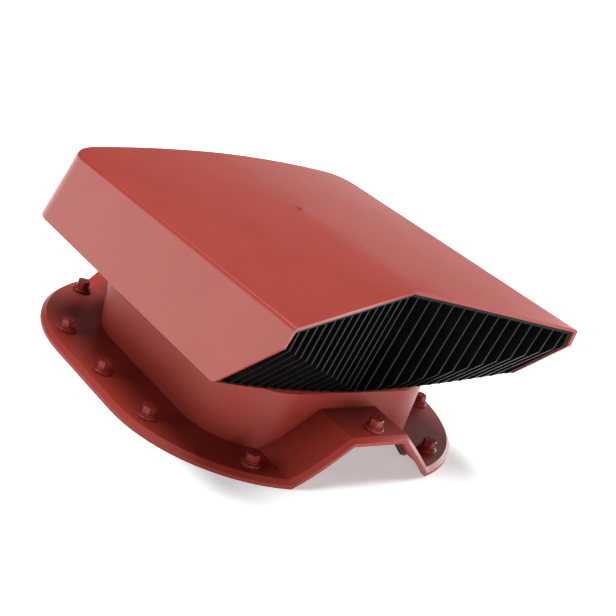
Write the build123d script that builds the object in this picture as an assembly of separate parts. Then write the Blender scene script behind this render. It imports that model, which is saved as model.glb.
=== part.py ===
from build123d import *
import os
from math import atan2, cos, degrees, radians, sin, sqrt, tan

# Roof vent for a ribbed metal roof: a moulded base with a collar, a black
# slatted grille body that sits on the collar, and a hood over it.
# Millimetres. The origin is at the middle of the base, on the plane where the
# base's rim meets the roof. Z points away from the roof, -Y down the slope.

# Base plate
PLATE_X = 325.0
PLATE_Y = 327.0
PLATE_CORNER_R = 120.0
PLATE_WALL = 3.0
RIM_DEPTH = 6.5
RIM_FLARE = 3.5
RIM_FOOT = 4.5

# Rib of the base plate, which rides over a rib of the roof
RIB_FOOT_X = 148.0
RIB_TOP_X = 58.6
RIB_RISE = 37.0

# Collar: a wider foot up to the waist, a straight neck above it
COLLAR_X = 224.0
COLLAR_FRONT_Y = -122.0
COLLAR_BACK_Y = 112.0
COLLAR_CORNER_R = 60.0
COLLAR_WALL = 3.0
NECK_FRONT_Y = -115.0
NECK_BACK_Y = 124.0
WAIST_Z = 57.0
NECK_START_Z = 63.0
NECK_TOP_Z = 100.0

# Seal strip and the two lips that hold it, under the base plate
LIP_INSET = 24.0
LIP_WALL = 1.6
LIP_SHY = 1.0
SEAL_GAP = 0.4
SEAL_WIDTH = 4.0
SEAL_SHY = 0.2

# Roof screws and their washers
SCREW_INSET = 13.5
RIB_SCREW_INSET = 9.5
SIDE_SCREW_ANGLE = 12.5
BESIDE_RIB = 21.0
SCREW_R = 3.15
SCREW_PLAY = 0.25
SCREW_BELOW = 6.0
HEAD_ACROSS = 10.0
HEAD_HEIGHT = 6.0
HEAD_BEVEL = 0.7
COLLAR_DISC_R = 6.2
COLLAR_DISC = 1.2
WASHER_R = 8.0
WASHER_THICK = 3.0
WASHER_EDGE_R = 0.8
WASHER_PLAY = 0.1

# Hood: its roof is a ridge at the front and turns into an arch at the back
SHOULDER_X = 300.0
SHOULDER_Y = -187.2
SHOULDER_Z = 151.3
RIDGE_RISE = 9.0
ARCH_RISE = 10.5
ROOF_FALL = 0.031
ROOF_FRONT_Y = -200.0
ROOF_BACK_Y = 160.0
HOOD_DRAFT = 8.4
BACK_DRAFT = 15.0
HOOD_WALL = 3.0
HOOD_BACK_Y = 129.5
HOOD_CORNER_R = 22.0
CORNER_SPREAD = 0.1
SHOULDER_R = 4.0
NOTCH_SWEEP = 0.3036
NOTCH_LEAN = 0.1724
KNEE_Y = -185.2
KNEE_Z = 135.3
EDGE_Y = -138.8
EDGE_Z = 80.9
EDGE_FALL = 0.007
EDGE_CORNER_R = 8.0
GATE_Y = 9.5
GATE_R = 2.5
GATE_RISE = 0.8

# Grille body
BODY_GAP = 0.5
BODY_WALL = 2.5
BODY_SET_BACK = 1.5
FLOOR_MID_Z = 58.5
FLOOR_WALL = 2.5
FLOOR_SET_BACK = 0.6
SIDE_HEIGHT = 16.0
FRAME_DEPTH = 12.0
SLAT_COUNT = 28
SLAT_PITCH = 10.4
SLAT_THICK = 1.5
SLAT_DEPTH = 26.0
SLAT_KNEE_MID_Z = 58.6
BAR_SIZE = 3.0
BAR_LEVELS = (112.0, 134.0)
SLEEVE_GAP = 0.6
SLEEVE_WALL = 2.5
SLEEVE_SHY = 2.0

# Screws that hold the hood to the grille body, and that to the neck
POST_X = 134.0
POST_Y = (-72.0, 78.0)
POST_R = 5.0
PILOT_DEPTH = 14.0
PAD_R = 7.0
PAD_BELOW = 3.0
PAD_HEIGHT = 8.0
SMALL_R = 1.9
PILOT_PLAY = 0.05
SMALL_PLAY = 0.4
SMALL_HEAD_R = 4.0
SMALL_HEAD = 2.6
HOOD_SCREW_LENGTH = 20.0
NECK_SCREW_LENGTH = 8.0
NECK_SCREW_Y = (-36.0, 44.0)
NECK_SCREW_Z = 86.0

# A length that passes everything
FAR = 600.0

PLATE_TOP_Z = RIM_DEPTH
RIB_TOP_Z = PLATE_TOP_Z + RIB_RISE
RIB_SLOPE = degrees(atan2(RIB_RISE, (RIB_FOOT_X - RIB_TOP_X) / 2))
DRAFT_TAN = tan(radians(HOOD_DRAFT))
BACK_TAN = tan(radians(BACK_DRAFT))
ROOF_HALF_X = 0.6 * SHOULDER_X
KNEE_RUN = (EDGE_Y - KNEE_Y) / (KNEE_Z - EDGE_Z)
KNEE_X = SHOULDER_X / 2 + (SHOULDER_Z - KNEE_Z) * DRAFT_TAN
EDGE_X = SHOULDER_X / 2 + (SHOULDER_Z - EDGE_Z) * DRAFT_TAN
BODY_INSET = HOOD_WALL + BODY_GAP
INNER_INSET = BODY_INSET + BODY_WALL
BLOCK_LOW_Z = FLOOR_MID_Z - 4 * FLOOR_WALL


def rounded_face(size_x, front_y, back_y, corner_r, z):
    """A rounded rectangle in plan, from front_y to back_y, at height z."""
    place = Pos(0, (front_y + back_y) / 2, z)
    return place * RectangleRounded(size_x, back_y - front_y, corner_r)


def along_y(points):
    """A long bar along Y with the given closed outline in X and Z."""
    outline = Polyline([(x, 0, z) for x, z in points], close=True)
    return extrude(make_face(outline), FAR, dir=(0, 1, 0), both=True)


def along_x(points):
    """A long bar along X with the given closed outline in Y and Z."""
    outline = Polyline([(0, y, z) for y, z in points], close=True)
    return extrude(make_face(outline), FAR, dir=(1, 0, 0), both=True)


def slab(low_z, high_z):
    """Everything between two heights."""
    return Pos(0, 0, (low_z + high_z) / 2) * Box(2 * FAR, 2 * FAR, high_z - low_z)


def upright(radius, low_z, high_z, x, y):
    """A round rod standing at x, y between two heights."""
    rod = Cylinder(radius, high_z - low_z, align=(Align.CENTER, Align.CENTER, Align.MIN))
    return Pos(x, y, low_z) * rod


# Base plate


def plate_prism(grow):
    """The base plate's outline, grown by a margin, as a tall prism."""
    half_y = PLATE_Y / 2 + grow
    corner_r = PLATE_CORNER_R + grow
    face = rounded_face(PLATE_X + 2 * grow, -half_y, half_y, corner_r, -FAR / 2)
    return extrude(face, FAR)


def rib_line(depth):
    """Right half of the ribbed skin line, a given depth below the top skin."""
    shift = depth * tan(radians(RIB_SLOPE / 2))
    return [
        (RIB_TOP_X / 2 - shift, RIB_TOP_Z - depth),
        (RIB_FOOT_X / 2 - shift, PLATE_TOP_Z - depth),
        (FAR, PLATE_TOP_Z - depth),
    ]


def ribbed_layer(top_depth, low_depth):
    """The layer between two depths below the plate's top skin."""
    top = rib_line(top_depth)
    low = rib_line(low_depth)
    right = top + low[::-1]
    left = [(-x, z) for x, z in reversed(right)]
    return along_y(right + left)


def below_skin(depth):
    """Everything under the ribbed skin line at a given depth."""
    right = rib_line(depth) + [(FAR, -FAR)]
    left = [(-x, z) for x, z in reversed(right)]
    return along_y(right + left)


def bevelled_below(high_points):
    """The plate's outline below one straight skin line, its top edges bevelled."""
    below = along_y(high_points + [(FAR, -FAR), (-FAR, -FAR)])
    solid = plate_prism(RIM_FLARE) & below
    top = solid.faces().sort_by(Axis.Z)[-1]
    return chamfer(top.edges(), RIM_FLARE)


def plate_envelope():
    """The plate as if solid: flat sides, and the rib where its three skins meet."""
    steep = tan(radians(RIB_SLOPE))
    reach = FAR - RIB_TOP_X / 2
    low_z = RIB_TOP_Z - reach * steep
    high_z = RIB_TOP_Z + (FAR + RIB_TOP_X / 2) * steep
    flat = bevelled_below([(-FAR, PLATE_TOP_Z), (FAR, PLATE_TOP_Z)])
    rib = bevelled_below([(-FAR, RIB_TOP_Z), (FAR, RIB_TOP_Z)])
    rib &= bevelled_below([(-FAR, high_z), (FAR, low_z)])
    rib &= bevelled_below([(-FAR, low_z), (FAR, high_z)])
    return flat + rib


def plate_z(x):
    """Height of the plate's top skin at a given x."""
    run = min(max(RIB_FOOT_X / 2 - abs(x), 0), (RIB_FOOT_X - RIB_TOP_X) / 2)
    return PLATE_TOP_Z + run * tan(radians(RIB_SLOPE))


def collar_solid(inset):
    """The collar's foot and neck, its faces moved inwards by inset."""
    radius = COLLAR_CORNER_R - inset
    size_x = COLLAR_X - 2 * inset
    waist_back_y = COLLAR_BACK_Y + (NECK_BACK_Y - COLLAR_BACK_Y) * WAIST_Z / NECK_START_Z
    levels = [
        (COLLAR_FRONT_Y, COLLAR_BACK_Y, 0),
        (COLLAR_FRONT_Y, waist_back_y, WAIST_Z),
        (NECK_FRONT_Y, NECK_BACK_Y, NECK_START_Z),
    ]
    sections = [
        rounded_face(size_x, front_y + inset, back_y - inset, radius, z)
        for front_y, back_y, z in levels
    ]
    return loft(sections, ruled=True) + neck_prism(-inset, NECK_START_Z, NECK_TOP_Z)


def neck_prism(grow, low_z, high_z):
    """The neck's section grown by a margin, between two heights."""
    face = rounded_face(
        COLLAR_X + 2 * grow,
        NECK_FRONT_Y - grow,
        NECK_BACK_Y + grow,
        COLLAR_CORNER_R + grow,
        low_z,
    )
    return extrude(face, high_z - low_z)


def roof_screw_places():
    """X and Y of every roof screw."""
    corner_x = PLATE_X / 2 - PLATE_CORNER_R
    corner_y = PLATE_Y / 2 - PLATE_CORNER_R
    radius = PLATE_CORNER_R - SCREW_INSET
    places = []
    for side_y in (-1, 1):
        places.append((0, side_y * (PLATE_Y / 2 - RIB_SCREW_INSET)))
    side_angle = radians(SIDE_SCREW_ANGLE)
    rib_side_x = RIB_FOOT_X / 2 + BESIDE_RIB
    turn = sqrt(radius**2 - (rib_side_x - corner_x) ** 2)
    for side_x in (-1, 1):
        places.append((side_x * (PLATE_X / 2 - SCREW_INSET), 0))
        for side_y in (-1, 1):
            x = corner_x + radius * cos(side_angle)
            y = corner_y + radius * sin(side_angle)
            places.append((side_x * x, side_y * y))
            places.append((side_x * rib_side_x, side_y * (corner_y + turn)))
    return places


def neck_screw_places():
    """Side and Y of every screw through the sleeve into the neck."""
    return [(side, y) for side in (-1, 1) for y in NECK_SCREW_Y]


def across_rod(radius, start_x, end_x, y, z):
    """A round rod along X between two places."""
    rod = Cylinder(radius, abs(end_x - start_x), rotation=(0, 90, 0))
    return Pos((start_x + end_x) / 2, y, z) * rod


def make_base():
    """Ribbed plate, turned-down rim, seal lip and collar, moulded as one."""
    hollow = below_skin(PLATE_WALL) & plate_prism(RIM_FLARE - RIM_FOOT)
    plate = plate_envelope() - below_skin(RIM_DEPTH) - hollow
    for outer in (LIP_INSET, LIP_INSET + LIP_WALL + 2 * SEAL_GAP + SEAL_WIDTH):
        lip_ring = plate_prism(-outer) - plate_prism(-outer - LIP_WALL)
        plate += ribbed_layer(PLATE_WALL / 2, RIM_DEPTH - LIP_SHY) & lip_ring
    collar = collar_solid(0) - below_skin(PLATE_WALL)
    base = plate + collar - collar_solid(COLLAR_WALL)
    for x, y in roof_screw_places():
        base -= upright(SCREW_R + SCREW_PLAY, -FAR / 4, FAR / 4, x, y)
    for side, y in neck_screw_places():
        outer_x = side * (COLLAR_X / 2 + COLLAR_WALL)
        inner_x = side * (COLLAR_X / 2 - 2 * COLLAR_WALL)
        base -= across_rod(SMALL_R + PILOT_PLAY, outer_x, inner_x, y, NECK_SCREW_Z)
    return base


# Seal strip


def make_seal():
    """Soft strip between the two lips, well inside the ring of roof screws."""
    outer = -LIP_INSET - LIP_WALL - SEAL_GAP
    ring = plate_prism(outer) - plate_prism(outer - SEAL_WIDTH)
    return ribbed_layer(PLATE_WALL, RIM_DEPTH - SEAL_SHY) & ring


# Hood


def ridge_rise(x):
    """Height of the roof's front section above its shoulders."""
    return RIDGE_RISE * (1 - 2 * abs(x) / SHOULDER_X)


def arch_rise(x):
    """Height of the roof's back section, an arc, above its shoulders."""
    radius = (SHOULDER_X**2 / 4 + ARCH_RISE**2) / (2 * ARCH_RISE)
    return ARCH_RISE - radius + sqrt(radius**2 - x**2)


def roof_z(x, y):
    """Height of the hood's outer roof."""
    back_share = (y - ROOF_FRONT_Y) / (ROOF_BACK_Y - ROOF_FRONT_Y)
    rise = (1 - back_share) * ridge_rise(x) + back_share * arch_rise(x)
    return SHOULDER_Z + rise - ROOF_FALL * (y - SHOULDER_Y)


def front_y(x, z):
    """Place of the hood's open front, a notch in plan that leans back."""
    return SHOULDER_Y + NOTCH_SWEEP * (SHOULDER_X / 2 - abs(x)) + NOTCH_LEAN * (SHOULDER_Z - z)


def roof_section(rise, y, inset):
    """Everything below the roof at one place, lowered by inset, as a face."""
    shift = SHOULDER_Z - ROOF_FALL * (y - SHOULDER_Y) - inset
    ends_z = shift + rise(ROOF_HALF_X)
    left, top, right = (-ROOF_HALF_X, y, ends_z), (0, y, shift + rise(0)), (ROOF_HALF_X, y, ends_z)
    feet = Polyline([right, (ROOF_HALF_X, y, 0), (-ROOF_HALF_X, y, 0), left])
    if rise is ridge_rise:
        return make_face(feet + Line(left, top) + Line(top, right))
    half_x = ROOF_HALF_X / 2
    side_z = shift + rise(half_x)
    left_arc = ThreePointArc(left, (-half_x, y, side_z), top)
    right_arc = ThreePointArc(top, (half_x, y, side_z), right)
    return make_face(feet + left_arc + right_arc)


def under_roof(inset):
    """Everything below the roof, lowered by inset: front ridge to back arch."""
    front = roof_section(ridge_rise, ROOF_FRONT_Y, inset)
    back = roof_section(arch_rise, ROOF_BACK_Y, inset)
    return loft([front, back], ruled=True)


def hood_section(z, inset):
    """The hood's plan at one height, moved inwards by inset."""
    drop = SHOULDER_Z - z
    grow_x = drop * DRAFT_TAN - inset / cos(radians(HOOD_DRAFT))
    grow_y = drop * BACK_TAN - inset / cos(radians(BACK_DRAFT))
    corner_r = HOOD_CORNER_R + drop * CORNER_SPREAD - inset
    size_x = SHOULDER_X + 2 * grow_x
    return rounded_face(size_x, 2 * SHOULDER_Y, HOOD_BACK_Y + grow_y, corner_r, z)


def hood_block(inset):
    """Solid within the hood's roof, sides and back, moved inwards by inset."""
    low = hood_section(BLOCK_LOW_Z, inset)
    high = hood_section(SHOULDER_Z + 3 * RIDGE_RISE, inset)
    return loft([low, high], ruled=True) & under_roof(inset)


def notch_wedge(set_back):
    """Everything behind the hood's open front, moved back by set_back."""
    side_y = front_y(FAR, 0) + set_back
    middle_y = front_y(0, 0) + set_back
    points = [(0, middle_y), (FAR, side_y), (FAR, FAR), (-FAR, FAR), (-FAR, side_y)]
    outline = Polyline([(x, y, 0) for x, y in points], close=True)
    return extrude(make_face(outline), FAR, dir=(0, -NOTCH_LEAN, 1))


def behind_knee(set_back):
    """Everything behind the slanted lower front, between knee and edge."""
    high_y = KNEE_Y - (FAR - KNEE_Z) * KNEE_RUN + set_back
    low_y = EDGE_Y + EDGE_Z * KNEE_RUN + set_back
    return along_x([(high_y, FAR), (low_y, 0), (FAR, 0), (FAR, FAR)])


def hood_window():
    """Everything above the hood's lower edge and behind its slanted front."""
    high_y = KNEE_Y - (FAR - KNEE_Z) * KNEE_RUN
    back_z = EDGE_Z - EDGE_FALL * (FAR - EDGE_Y)
    points = [(0, high_y, FAR), (0, EDGE_Y, EDGE_Z), (0, FAR, back_z), (0, FAR, FAR)]
    face = make_face(Polyline(points, close=True))
    corner = face.vertices().sort_by(lambda spot: abs(spot.Y - EDGE_Y) + abs(spot.Z - EDGE_Z))
    face = fillet(corner[0], EDGE_CORNER_R)
    return extrude(face, FAR, dir=(1, 0, 0), both=True)


def is_shoulder_edge(edge):
    """Whether an edge lies on the roof and round its rim, not on the ridge."""
    middle = edge.position_at(0.5)
    on_roof = abs(middle.Z - roof_z(middle.X, middle.Y)) < SHOULDER_R / 10
    return on_roof and abs(middle.X) > SHOULDER_R and middle.Y > SHOULDER_Y


def post_places():
    """X and Y of every post inside the hood."""
    return [(side * POST_X, y) for side in (-1, 1) for y in POST_Y]


def floor_z(x):
    """Height of the grille body's underside."""
    return FLOOR_MID_Z + (EDGE_Z - FLOOR_MID_Z) * (x / EDGE_X) ** 2


def pad_low_z():
    return floor_z(POST_X) - PAD_BELOW


def make_hood():
    """One moulded shell with four screw posts and a small gate mark."""
    outer = hood_block(0)
    rim_edges = [edge for edge in outer.edges() if is_shoulder_edge(edge)]
    outer = fillet(rim_edges, SHOULDER_R)
    shell = outer - hood_block(HOOD_WALL)
    shell = shell & notch_wedge(0) & hood_window()
    within = hood_block(HOOD_WALL / 2)
    pad_top_z = pad_low_z() + PAD_HEIGHT
    for x, y in post_places():
        shell += upright(POST_R, pad_top_z, FAR, x, y) & within
        pilot_top_z = pad_top_z + PILOT_DEPTH
        shell -= upright(SMALL_R + PILOT_PLAY, pad_top_z, pilot_top_z, x, y)
    gate_z = roof_z(0, GATE_Y)
    shell += upright(GATE_R, gate_z - HOOD_WALL / 2, gate_z + GATE_RISE, 0, GATE_Y)
    return shell


# Grille body


def floor_arc(raise_by):
    """The floor's curve across X, raised by some height."""
    ends_z = EDGE_Z + raise_by
    return ThreePointArc(
        (-EDGE_X, 0, ends_z), (0, 0, FLOOR_MID_Z + raise_by), (EDGE_X, 0, ends_z)
    )


def above_floor(raise_by):
    """Everything above the floor's curve."""
    arc = floor_arc(raise_by)
    lid = Polyline([arc @ 1, (EDGE_X, 0, FAR), (-EDGE_X, 0, FAR), arc @ 0])
    return extrude(make_face(arc + lid), FAR, dir=(0, 1, 0), both=True)


def knee_z(x):
    """Height where a slat's front turns back."""
    return SLAT_KNEE_MID_Z + (KNEE_Z - SLAT_KNEE_MID_Z) * abs(x) / KNEE_X


def behind_slant(set_back):
    """Everything behind the slats' slanted lower fronts, moved back by set_back."""
    middle_y, side_y = [
        front_y(x, knee_z(x)) + BODY_SET_BACK + knee_z(x) * KNEE_RUN + set_back for x in (0, FAR)
    ]
    points = [(0, middle_y), (FAR, side_y), (FAR, FAR), (-FAR, FAR), (-FAR, side_y)]
    outline = Polyline([(x, y, 0) for x, y in points], close=True)
    return extrude(make_face(outline), FAR, dir=(0, -KNEE_RUN, 1))


def slat_points(x):
    """A slat's outline in Y and Z: upright above its knee, slanted below."""
    turn_z = knee_z(x)
    turn_y = front_y(x, turn_z) + BODY_SET_BACK
    foot_z = min(floor_z(x), turn_z - SLAT_THICK)
    foot_y = turn_y + (turn_z - foot_z) * KNEE_RUN
    top_z = roof_z(0, SHOULDER_Y)
    top_y = front_y(x, top_z) + BODY_SET_BACK
    front = [(top_y, top_z), (turn_y, turn_z), (foot_y, foot_z)]
    back = [(y + SLAT_DEPTH, z) for y, z in front[::-1]]
    return front + back


def make_slat(x):
    """One upright slat at x, still running past the roof."""
    outline = Polyline([(x, y, z) for y, z in slat_points(x)], close=True)
    return extrude(make_face(outline), SLAT_THICK / 2, dir=(1, 0, 0), both=True)


def slat_places():
    """X of every slat."""
    first = -(SLAT_COUNT - 1) / 2 * SLAT_PITCH
    return [first + SLAT_PITCH * number for number in range(SLAT_COUNT)]


def body_block(inset):
    """The space in the hood, and straight down from its lower edge."""
    return hood_block(inset) & extrude(hood_section(EDGE_Z, inset), FAR, both=True)


def make_grille_body():
    """Floor, side walls, front frame, slats and neck sleeve, moulded as one."""
    block = body_block(BODY_INSET)
    wall = block - body_block(INNER_INSET)
    front_depth = BODY_SET_BACK + FRAME_DEPTH
    behind = notch_wedge(BODY_SET_BACK) & behind_knee(BODY_SET_BACK) & above_floor(0)
    side_walls = wall & slab(0, EDGE_Z + SIDE_HEIGHT) & behind
    frame = (wall & behind) - (notch_wedge(front_depth) & behind_knee(front_depth))
    floor = block & (above_floor(0) - above_floor(FLOOR_WALL))
    floor = floor & behind_slant(FLOOR_SET_BACK) & notch_wedge(BODY_SET_BACK + FLOOR_SET_BACK)
    body = floor + side_walls + frame
    slats = [make_slat(x) for x in slat_places()]
    body += [slat & block & above_floor(0) for slat in slats]
    bar_start = BODY_SET_BACK + SLAT_DEPTH - BAR_SIZE
    bar_path = notch_wedge(bar_start) - notch_wedge(bar_start + BAR_SIZE)
    for level in BAR_LEVELS:
        bar = bar_path & slab(level, level + BAR_SIZE) & block & behind_knee(BODY_SET_BACK)
        body += bar
    sleeve_top_z = NECK_TOP_Z - SLEEVE_SHY
    sleeve = neck_prism(SLEEVE_GAP + SLEEVE_WALL, FLOOR_MID_Z, sleeve_top_z) & above_floor(0)
    body += sleeve
    body -= collar_solid(-SLEEVE_GAP) + neck_prism(SLEEVE_GAP, NECK_TOP_Z, NECK_TOP_Z + SLEEVE_GAP)
    for x, y in post_places():
        low_z = pad_low_z()
        body += upright(PAD_R, low_z, low_z + PAD_HEIGHT, x, y)
        body -= upright(SMALL_R + SMALL_PLAY, low_z, low_z + PAD_HEIGHT, x, y)
    for side, y in neck_screw_places():
        start_x = side * COLLAR_X / 2
        end_x = start_x + side * (SLEEVE_GAP + 2 * SLEEVE_WALL)
        body -= across_rod(SMALL_R + SMALL_PLAY, start_x, end_x, y, NECK_SCREW_Z)
    return body


# Fasteners


def make_roof_screw():
    """Hex screw with a pressed disc under its head, tip down, at the origin."""
    seat_z = WASHER_THICK
    shank = upright(SCREW_R, -SCREW_BELOW, seat_z, 0, 0)
    disc = upright(COLLAR_DISC_R, seat_z, seat_z + COLLAR_DISC, 0, 0)
    head_low_z = seat_z + COLLAR_DISC
    hexagon = RegularPolygon(HEAD_ACROSS / 2, 6, major_radius=False)
    head = extrude(Pos(0, 0, head_low_z) * hexagon, HEAD_HEIGHT)
    corner_r = HEAD_ACROSS / 2 / cos(radians(30))
    turned = upright(corner_r, head_low_z, head_low_z + HEAD_HEIGHT, 0, 0)
    turned = chamfer(turned.edges().sort_by(Axis.Z)[-1], HEAD_BEVEL)
    return shank + disc + (head & turned)


def make_roof_washer():
    """Bonded washer, its outer edge rounded."""
    washer = upright(WASHER_R, 0, WASHER_THICK, 0, 0)
    washer = fillet(washer.edges().sort_by(Axis.Z)[-1], WASHER_EDGE_R)
    return washer - upright(SCREW_R + WASHER_PLAY, 0, WASHER_THICK, 0, 0)


def make_small_screw(length):
    """Pan-head screw, head's seat at the origin, shank towards +Z."""
    shank = upright(SMALL_R, 0, length, 0, 0)
    head = upright(SMALL_HEAD_R, -SMALL_HEAD, 0, 0, 0)
    head = fillet(head.edges().sort_by(Axis.Z)[0], SMALL_HEAD / 2)
    return shank + head


def build_parts():
    """Every sub-part by name, in its place."""
    parts = {
        "base": make_base(),
        "seal_strip": make_seal(),
        "hood": make_hood(),
        "grille_body": make_grille_body(),
    }
    screw = make_roof_screw()
    washer = make_roof_washer()
    for number, (x, y) in enumerate(roof_screw_places(), 1):
        place = Pos(x, y, plate_z(x))
        parts[f"roof_screw_{number}"] = place * screw
        parts[f"roof_washer_{number}"] = place * washer
    hood_screw = make_small_screw(HOOD_SCREW_LENGTH)
    for number, (x, y) in enumerate(post_places(), 1):
        parts[f"hood_screw_{number}"] = Pos(x, y, pad_low_z()) * hood_screw
    neck_screw = make_small_screw(NECK_SCREW_LENGTH)
    seat_x = COLLAR_X / 2 + SLEEVE_GAP + SLEEVE_WALL
    for number, (side, y) in enumerate(neck_screw_places(), 1):
        turn = Rot(0, -side * 90, 0)
        parts[f"neck_screw_{number}"] = Pos(side * seat_x, y, NECK_SCREW_Z) * turn * neck_screw
    return parts


os.makedirs("parts", exist_ok=True)
for name, solid in build_parts().items():
    export_step(solid, f"parts/{name}.step")
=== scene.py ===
from math import cos, radians, sin

import bpy
from mathutils import Matrix, Vector

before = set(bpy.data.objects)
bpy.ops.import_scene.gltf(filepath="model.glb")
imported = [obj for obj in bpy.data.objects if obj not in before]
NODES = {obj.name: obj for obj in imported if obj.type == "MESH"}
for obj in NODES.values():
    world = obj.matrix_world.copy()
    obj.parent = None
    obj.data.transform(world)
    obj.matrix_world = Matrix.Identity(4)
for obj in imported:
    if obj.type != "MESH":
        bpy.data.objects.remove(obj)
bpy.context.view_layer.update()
MM = 0.001

# The photograph's camera: angles of its line of sight and its place
CAMERA_AZIMUTH = radians(44.94)
CAMERA_PITCH = radians(20.85)
CAMERA_ROLL = radians(20.59)
CAMERA_PLACE = Vector((-732.36, -774.46, 483.04)) * MM
FOCAL_PIXELS = 1355.9
IMAGE_PIXELS = 616
SENSOR_MM = 36.0
CLIP_START = 0.01
CLIP_END = 50

# Studio: how high the pale backdrop reaches, its glow, the key light, the fills, each
# with its place and its power, and the floor
BACKDROP_FULL = radians(13)
BACKDROP_END = radians(17)
BACKDROP_GLOW = 2.4
CEILING_GLOW = 0.04
KEY_FROM = (0.0, 0.22, 0.975)
KEY_STRENGTH = 5.6
KEY_SPREAD = radians(48)
FILL_AIM = (0.0, 0.0, 0.06)
FILLS = {
    "fill_left": ((-1.7, 0.5, 0.5), 12.0),
    "fill_right": ((1.7, 0.0, 0.3), 26.0),
    "fill_front": ((-0.2, -1.9, 0.12), 22.0),
    "fill_back": ((1.45, 1.4, 0.42), 1.5),
}
FILL_SIZE = (1.5, 0.5)
FLOOR_SIZE = 40
FLOOR_WHITE = (0.9, 0.9, 0.9, 1)
FLOOR_ROUGHNESS = 0.9
FLOOR_GLOW = 0.4

# Deep and pale tone of each kind of piece
HOOD_RED = ((0.24, 0.024, 0.015), (0.26, 0.028, 0.018))
BASE_RED = ((0.235, 0.0215, 0.0135), (0.255, 0.025, 0.016))
SCREW_RED = ((0.16, 0.014, 0.01), (0.2, 0.02, 0.014))
GRILLE_BLACK = ((0.0028, 0.0028, 0.003), (0.005, 0.005, 0.0055))
SEAL_BLACK = ((0.012, 0.012, 0.012), (0.03, 0.03, 0.03))
ZINC_GREY = ((0.45, 0.45, 0.46), (0.62, 0.62, 0.6))

# Soft edges: how wide they are, how close points are joined first, what counts as an edge
MOULDED_EDGE_MM = 0.7
GRILLE_EDGE_MM = 0.35
SEAL_EDGE_MM = 0.3
ROOF_SCREW_EDGE_MM = 0.25
SMALL_SCREW_EDGE_MM = 0.15
WELD_MM = 0.01
EDGE_ANGLE = radians(28)
EDGE_SEGMENTS = 2

# The stretch where most of a noise's values lie
NOISE_LOW = 0.3
NOISE_HIGH = 0.7


def make_camera():
    """Camera at the photograph's place, rolled as the roof tilts the vent."""
    ahead = Vector((
        sin(CAMERA_AZIMUTH) * cos(CAMERA_PITCH),
        cos(CAMERA_AZIMUTH) * cos(CAMERA_PITCH),
        -sin(CAMERA_PITCH),
    ))
    level_right = Vector((cos(CAMERA_AZIMUTH), -sin(CAMERA_AZIMUTH), 0))
    level_down = ahead.cross(level_right)
    right = level_right * cos(CAMERA_ROLL) - level_down * sin(CAMERA_ROLL)
    down = level_right * sin(CAMERA_ROLL) + level_down * cos(CAMERA_ROLL)
    data = bpy.data.cameras.new("photo_camera")
    data.sensor_width = SENSOR_MM
    data.lens = FOCAL_PIXELS / IMAGE_PIXELS * SENSOR_MM
    data.clip_start = CLIP_START
    data.clip_end = CLIP_END
    camera = bpy.data.objects.new("photo_camera", data)
    turn = Matrix((right, -down, -ahead)).transposed()
    camera.matrix_world = Matrix.Translation(CAMERA_PLACE) @ turn.to_4x4()
    bpy.context.scene.collection.objects.link(camera)
    bpy.context.scene.camera = camera


class Shader:
    """Builds one material from nodes. Noise scales are per metre, depths in metres."""

    def __init__(self, name):
        self.material = bpy.data.materials.new(name)
        self.material.use_nodes = True
        self.tree = self.material.node_tree
        self.surface = self.tree.nodes["Principled BSDF"]

    def set(self, socket, value):
        self.surface.inputs[socket].default_value = value

    def feed(self, source, socket):
        self.tree.links.new(source, self.surface.inputs[socket])

    def node(self, kind, **inputs):
        made = self.tree.nodes.new(kind)
        for key, value in inputs.items():
            made.inputs[key.replace("_", " ")].default_value = value
        return made

    def noise(self, scale, detail):
        place = self.tree.nodes.new("ShaderNodeTexCoord")
        made = self.node("ShaderNodeTexNoise", Scale=scale, Detail=detail)
        self.tree.links.new(place.outputs["Object"], made.inputs["Vector"])
        return made.outputs["Fac"]

    def span(self, source, low, high):
        """The middle stretch of a noise, spread from low to high."""
        made = self.node(
            "ShaderNodeMapRange", From_Min=NOISE_LOW, From_Max=NOISE_HIGH, To_Min=low, To_Max=high
        )
        self.tree.links.new(source, made.inputs["Value"])
        return made.outputs["Result"]

    def mottle(self, tones, scale):
        """Colour that wanders between a deep and a pale tone."""
        deep, pale = tones
        made = self.tree.nodes.new("ShaderNodeMix")
        made.data_type = "RGBA"
        made.inputs["A"].default_value = (*deep, 1)
        made.inputs["B"].default_value = (*pale, 1)
        share = self.span(self.noise(scale, detail=4), 0, 1)
        self.tree.links.new(share, made.inputs["Factor"])
        self.feed(made.outputs["Result"], "Base Color")

    def vary_gloss(self, low, high, scale, detail):
        """Roughness that wanders between two values."""
        self.feed(self.span(self.noise(scale, detail), low, high), "Roughness")

    def relief(self, scale, detail, strength, depth, over=None):
        """Small bumps, laid over wider ones where those are given."""
        made = self.node("ShaderNodeBump", Strength=strength, Distance=depth)
        self.tree.links.new(self.noise(scale, detail), made.inputs["Height"])
        if over is not None:
            self.tree.links.new(over, made.inputs["Normal"])
        self.feed(made.outputs["Normal"], "Normal")
        return made.outputs["Normal"]


def moulded_red(name, tones, roughness, specular):
    """Satin red moulded plastic: faint flow mottling, fine grain, long soft waves."""
    shader = Shader(name)
    shader.mottle(tones, scale=14)
    shader.vary_gloss(roughness - 0.015, roughness + 0.015, scale=60, detail=5)
    shader.set("Specular IOR Level", specular)
    waves = shader.relief(scale=14, detail=1, strength=0.02, depth=0.001)
    shader.relief(scale=2200, detail=2, strength=0.06, depth=0.0002, over=waves)
    return shader.material


def moulded_black(name):
    """Black moulded plastic with a fine matt grain."""
    shader = Shader(name)
    shader.mottle(GRILLE_BLACK, scale=30)
    shader.vary_gloss(0.36, 0.5, scale=60, detail=5)
    shader.set("Specular IOR Level", 0.12)
    shader.relief(scale=1800, detail=2, strength=0.08, depth=0.0002)
    return shader.material


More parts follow.
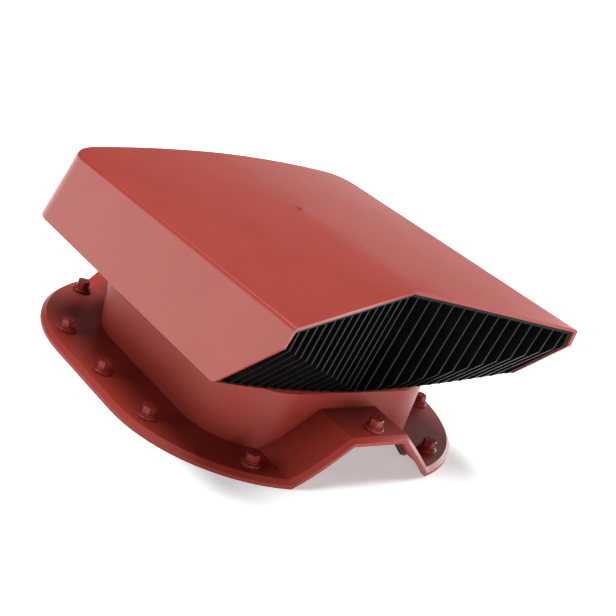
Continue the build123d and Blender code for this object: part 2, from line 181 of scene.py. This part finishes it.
def painted_steel(name):
    """Red paint over a screw head, a little uneven."""
    shader = Shader(name)
    shader.mottle(SCREW_RED, scale=160)
    shader.vary_gloss(0.22, 0.32, scale=300, detail=3)
    shader.set("Specular IOR Level", 0.3)
    shader.relief(scale=700, detail=2, strength=0.15, depth=0.0002)
    return shader.material


def seal_rubber(name):
    """Closed-cell rubber, dull and finely pitted."""
    shader = Shader(name)
    shader.mottle(SEAL_BLACK, scale=200)
    shader.set("Roughness", 0.85)
    shader.relief(scale=900, detail=3, strength=0.4, depth=0.0003)
    return shader.material


def bright_steel(name):
    """Zinc-plated steel with a faint mottle."""
    shader = Shader(name)
    shader.mottle(ZINC_GREY, scale=500)
    shader.vary_gloss(0.25, 0.42, scale=900, detail=3)
    shader.set("Metallic", 1.0)
    return shader.material


def dress(node, material, edge_mm):
    """Gives a CAD node its material and soft edges."""
    piece = NODES[node]
    piece.data.materials.clear()
    piece.data.materials.append(material)
    weld = piece.modifiers.new("weld", "WELD")
    weld.merge_threshold = WELD_MM * MM
    bevel = piece.modifiers.new("soft_edges", "BEVEL")
    bevel.width = edge_mm * MM
    bevel.segments = EDGE_SEGMENTS
    bevel.limit_method = "ANGLE"
    bevel.angle_limit = EDGE_ANGLE
    bevel.harden_normals = True
    bevel.use_clamp_overlap = True
    normals = piece.modifiers.new("even_normals", "WEIGHTED_NORMAL")
    normals.keep_sharp = True
    piece.data.shade_smooth()


def dress_all():
    """Every CAD node in its own material."""
    hood_red = moulded_red("hood_red", HOOD_RED, roughness=0.34, specular=0.5)
    base_red = moulded_red("base_red", BASE_RED, roughness=0.46, specular=0.3)
    screw_red = painted_steel("screw_red")
    steel = bright_steel("small_screw_steel")
    dress("hood", hood_red, MOULDED_EDGE_MM)
    dress("base", base_red, MOULDED_EDGE_MM)
    dress("grille_body", moulded_black("grille_black"), GRILLE_EDGE_MM)
    dress("seal_strip", seal_rubber("seal_rubber"), SEAL_EDGE_MM)
    for node in NODES:
        if node.startswith(("roof_screw", "roof_washer")):
            dress(node, screw_red, ROOF_SCREW_EDGE_MM)
        elif node.startswith(("hood_screw", "neck_screw")):
            dress(node, steel, SMALL_SCREW_EDGE_MM)


def make_floor():
    """A wide sheet of pale paper with a faint glow of its own."""
    bpy.ops.mesh.primitive_plane_add(size=FLOOR_SIZE)
    floor = bpy.context.object
    floor.name = "floor"
    shader = Shader("floor_paper")
    shader.set("Base Color", FLOOR_WHITE)
    shader.set("Roughness", FLOOR_ROUGHNESS)
    shader.set("Emission Color", (1, 1, 1, 1))
    shader.set("Emission Strength", FLOOR_GLOW)
    floor.data.materials.append(shader.material)


def make_surroundings():
    """A pale low backdrop all round that fades to a dim ceiling."""
    world = bpy.data.worlds.new("studio")
    world.use_nodes = True
    tree = world.node_tree
    place = tree.nodes.new("ShaderNodeTexCoord")
    split = tree.nodes.new("ShaderNodeSeparateXYZ")
    fade = tree.nodes.new("ShaderNodeMapRange")
    fade.interpolation_type = "SMOOTHSTEP"
    fade.inputs["From Min"].default_value = sin(BACKDROP_FULL)
    fade.inputs["From Max"].default_value = sin(BACKDROP_END)
    fade.inputs["To Min"].default_value = BACKDROP_GLOW
    fade.inputs["To Max"].default_value = CEILING_GLOW
    tree.links.new(place.outputs["Generated"], split.inputs["Vector"])
    tree.links.new(split.outputs["Z"], fade.inputs["Value"])
    tree.links.new(fade.outputs["Result"], tree.nodes["Background"].inputs["Strength"])
    bpy.context.scene.world = world


def make_key():
    """One broad soft light, high above the vent and a little behind it."""
    data = bpy.data.lights.new("key", "SUN")
    data.energy = KEY_STRENGTH
    data.angle = KEY_SPREAD
    lamp = bpy.data.objects.new("key", data)
    lamp.rotation_euler = Vector(KEY_FROM).to_track_quat("Z", "Y").to_euler()
    bpy.context.scene.collection.objects.link(lamp)


def make_fills():
    """Soft panels round the vent, each aimed at it."""
    for name, (place, power) in FILLS.items():
        data = bpy.data.lights.new(name, "AREA")
        data.shape = "RECTANGLE"
        data.size, data.size_y = FILL_SIZE
        data.energy = power
        lamp = bpy.data.objects.new(name, data)
        lamp.location = place
        away = Vector(place) - Vector(FILL_AIM)
        lamp.rotation_euler = away.to_track_quat("Z", "Y").to_euler()
        bpy.context.scene.collection.objects.link(lamp)


make_camera()
dress_all()
make_floor()
make_surroundings()
make_key()
make_fills()
bpy.context.scene.view_settings.view_transform = "Standard"
